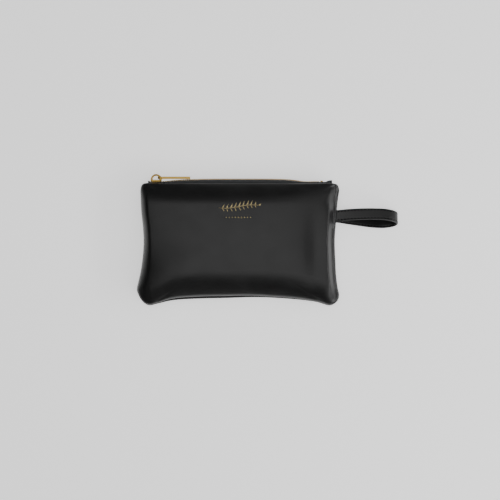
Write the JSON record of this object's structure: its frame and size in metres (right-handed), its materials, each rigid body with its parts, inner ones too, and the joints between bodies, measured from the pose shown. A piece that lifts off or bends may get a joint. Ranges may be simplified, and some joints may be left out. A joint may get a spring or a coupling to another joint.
{
  "type": "makeup bag",
  "caption": "Flat zip-top makeup pouch of smooth faux leather with a fabric lining, a metal zip that opens its mouth, and a folded wrist strap sewn into one side.",
  "frame": {"origin": "middle of the flat face of the back panel that the pouch lies on", "axes": "+X along the zip towards the wrist strap, +Y from the bottom seam to the zip, +Z out of the front panel"},
  "size_m": [0.2607, 0.1312, 0.034],
  "materials": {
    "leather": "smooth black faux leather, satin",
    "lining": "plain woven lining, matt",
    "tape": "woven zip tape, matt",
    "thread": "twisted polyester thread",
    "zip_metal": "polished light gold plating"
  },
  "bodies": {
    "pouch_back": {"back_panel": "leather", "back_lining": "lining", "back_zip_tape": "tape", "back_zip_teeth": "zip_metal", "back_zip_stitching": "thread", "back_top_stop": "zip_metal", "bottom_stop": "zip_metal", "strap_sewn_end": "leather"},
    "pouch_front": {"front_panel": "leather", "front_lining": "lining", "front_zip_tape": "tape", "front_zip_teeth": "zip_metal", "front_zip_stitching": "thread", "front_top_stop": "zip_metal"},
    "zip_slider": {"slider_body": "zip_metal", "slider_bridge": "zip_metal"},
    "pull_tab": {"pull_tab": "zip_metal"},
    "wrist_strap": {"strap_outer_layer": "leather", "strap_inner_layer": "leather", "strap_stitching": "thread"}
  },
  "joints": [
    {"name": "zip_slider_travel", "type": "slide", "parent": "pouch_back", "child": "zip_slider", "axis": [1, 0, 0], "range_m": [0, 0.158], "deforming": ["back_zip_teeth", "front_zip_teeth"]},
    {"name": "mouth_opening", "type": "hinge", "parent": "pouch_back", "child": "pouch_front", "pos_m": [0, -0.0624, 0.015], "axis": [1, 0, 0], "range_deg": [0, 12]},
    {"name": "pull_tab_swing", "type": "hinge", "parent": "zip_slider", "child": "pull_tab", "pos_m": [-0.0818, 0.064, 0.015], "axis": [0, 0, 1], "range_deg": [0, 120]},
    {"name": "wrist_strap_swing", "type": "hinge", "parent": "pouch_back", "child": "wrist_strap", "pos_m": [0.0992, 0.027, 0.01705], "axis": [0, -1, 0], "range_deg": [0, 80]}
  ],
  "couplings": [
    {"joint": "mouth_opening", "follows": "zip_slider_travel", "rad_per_m": 1.3256}
  ]
}
